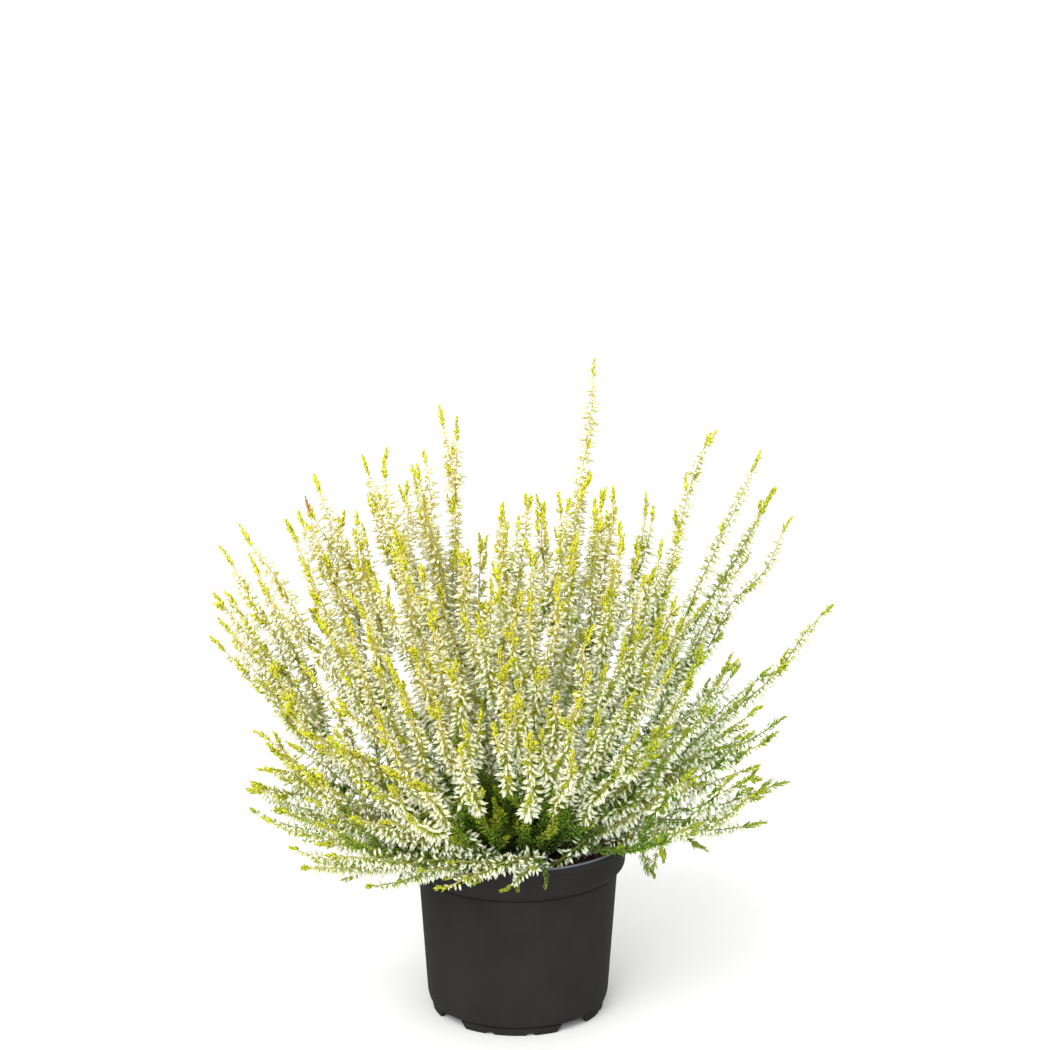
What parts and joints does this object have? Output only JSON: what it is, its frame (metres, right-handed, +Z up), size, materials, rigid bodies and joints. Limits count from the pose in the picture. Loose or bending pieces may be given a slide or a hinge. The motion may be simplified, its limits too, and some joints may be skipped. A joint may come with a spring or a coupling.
{
  "type": "potted heather",
  "caption": "Bud-flowering heather bush, yellow-green and white, in a round black plastic nursery pot.",
  "frame": {"origin": "on the pot's axis, at the level of its feet; the bush is centred over the pot", "axes": "+Z up along the pot's axis; -Y is the front that the picture shows; +X to the right seen from the front"},
  "size_m": [0.3194, 0.2571, 0.3336],
  "materials": {
    "black_plastic": "matt moulded black plastic",
    "peat": "dark reddish brown peat crumb",
    "heather": "white buds, yellow-green leaves and tips, tan woody stems"
  },
  "bodies": {
    "root": {"pot": "black_plastic", "soil": "peat", "branch_01": "heather", "branch_02": "heather", "branch_03": "heather", "branch_04": "heather", "branch_05": "heather", "branch_06": "heather", "branch_07": "heather", "branch_08": "heather", "branch_09": "heather", "branch_10": "heather", "branch_11": "heather", "branch_12": "heather", "branch_13": "heather", "branch_14": "heather", "branch_15": "heather", "branch_16": "heather", "branch_17": "heather", "branch_18": "heather", "branch_19": "heather", "branch_20": "heather", "branch_21": "heather", "branch_22": "heather", "branch_23": "heather", "branch_24": "heather", "branch_25": "heather", "branch_26": "heather", "branch_27": "heather", "branch_28": "heather", "branch_29": "heather", "branch_30": "heather", "branch_31": "heather", "branch_32": "heather", "branch_33": "heather", "branch_34": "heather", "branch_35": "heather", "branch_36": "heather", "branch_37": "heather", "branch_38": "heather", "branch_39": "heather", "branch_40": "heather", "branch_41": "heather", "branch_42": "heather", "branch_43": "heather", "branch_44": "heather", "branch_45": "heather", "branch_46": "heather", "branch_47": "heather", "branch_48": "heather", "branch_49": "heather", "branch_50": "heather", "branch_51": "heather", "branch_52": "heather", "branch_53": "heather", "branch_54": "heather"}
  },
  "joints": []
}
